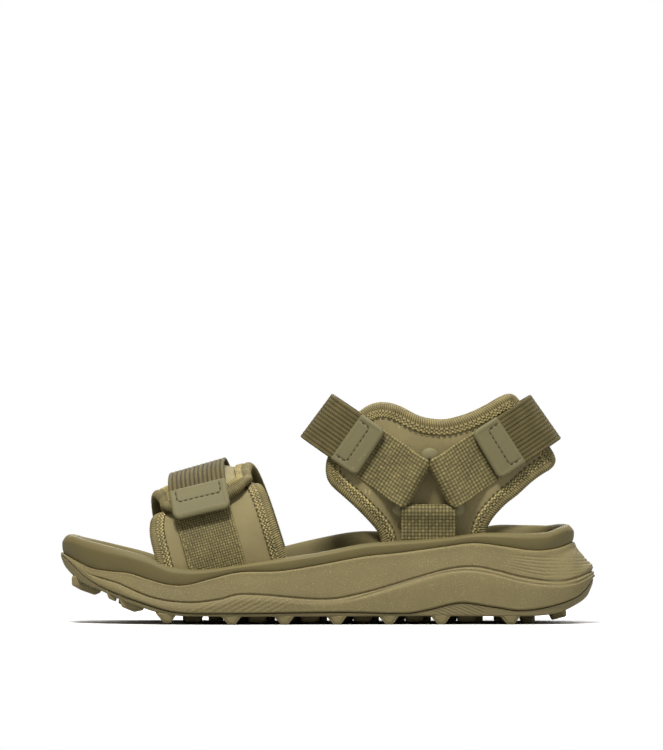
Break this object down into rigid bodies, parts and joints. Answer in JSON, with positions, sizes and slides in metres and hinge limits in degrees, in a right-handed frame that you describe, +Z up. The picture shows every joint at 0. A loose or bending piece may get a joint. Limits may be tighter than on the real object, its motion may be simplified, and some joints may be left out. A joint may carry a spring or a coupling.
{
  "type": "strappy sport sandal",
  "caption": "Left sport sandal with a lugged platform sole, padded wings, triangular rings and three hook-and-loop webbing closures.",
  "frame": {"origin": "on the ground under the middle of the sole's length and width", "axes": "+X to the heel, -Y to the outer (lateral) side, +Z up"},
  "size_m": [0.2572, 0.0995, 0.1107],
  "materials": {
    "outsole_rubber": "matt moulded rubber",
    "midsole_foam": "matt speckled EVA foam",
    "footbed_foam": "matt fine-grained EVA foam",
    "insole_cover": "brushed microfibre",
    "merrow_binding": "overlocked polyester thread",
    "neoprene": "smooth jersey-faced neoprene",
    "moulded_tab": "satin moulded TPU",
    "moulded_ring": "satin moulded nylon",
    "hook_patch": "hook tape",
    "coarse_webbing": "coarse plain-woven webbing",
    "ribbed_webbing": "fine-ribbed woven webbing"
  },
  "bodies": {
    "root": {"outsole": "outsole_rubber", "midsole": "midsole_foam", "footbed": "footbed_foam", "insole": "insole_cover", "front_wing_lateral": "neoprene", "front_wing_lateral_binding": "merrow_binding", "front_wing_medial": "neoprene", "front_wing_medial_binding": "merrow_binding", "front_landing_webbing": "coarse_webbing", "front_strap_fixed": "ribbed_webbing", "collar_lateral": "neoprene", "collar_lateral_binding": "merrow_binding", "collar_medial": "neoprene", "collar_medial_binding": "merrow_binding", "anchor_loop_lateral": "coarse_webbing", "anchor_loop_medial": "coarse_webbing", "instep_landing_webbing": "coarse_webbing", "heel_landing_webbing": "coarse_webbing", "instep_strap_fixed": "ribbed_webbing", "heel_strap_fixed": "ribbed_webbing"},
    "front_flap": {"front_wing_free_end": "neoprene", "front_wing_free_end_binding": "merrow_binding", "front_strap_free_end": "ribbed_webbing", "front_hook_patch": "hook_patch", "front_pull_tab": "moulded_tab"},
    "instep_flap": {"instep_strap_free_end": "ribbed_webbing", "instep_hook_patch": "hook_patch", "instep_pull_tab": "moulded_tab"},
    "heel_flap": {"heel_strap_free_end": "ribbed_webbing", "heel_hook_patch": "hook_patch", "heel_pull_tab": "moulded_tab"},
    "lateral_ring": {"ring_lateral": "moulded_ring"},
    "medial_ring": {"ring_medial": "moulded_ring"}
  },
  "joints": [
    {"name": "front_strap_peel", "type": "hinge", "parent": "root", "child": "front_flap", "pos_m": [-0.06311, 0.00228, 0.0757], "axis": [-0.9613, 0, -0.2756], "range_deg": [0, 110]},
    {"name": "instep_strap_peel", "type": "hinge", "parent": "root", "child": "instep_flap", "pos_m": [-0.00531, 0.00139, 0.10019], "axis": [-0.5948, 0, -0.8039], "range_deg": [0, 110]},
    {"name": "heel_strap_peel", "type": "hinge", "parent": "root", "child": "heel_flap", "pos_m": [0.10566, 0.0014, 0.09952], "axis": [-0.5736, 0, 0.8192], "range_deg": [0, 110]},
    {"name": "lateral_ring_rock", "type": "hinge", "parent": "root", "child": "lateral_ring", "pos_m": [0.0487, -0.03407, 0.0542], "axis": [1, 0, 0], "range_deg": [0, 3]},
    {"name": "medial_ring_rock", "type": "hinge", "parent": "root", "child": "medial_ring", "pos_m": [0.0487, 0.03407, 0.0542], "axis": [-1, 0, 0], "range_deg": [0, 3]}
  ]
}
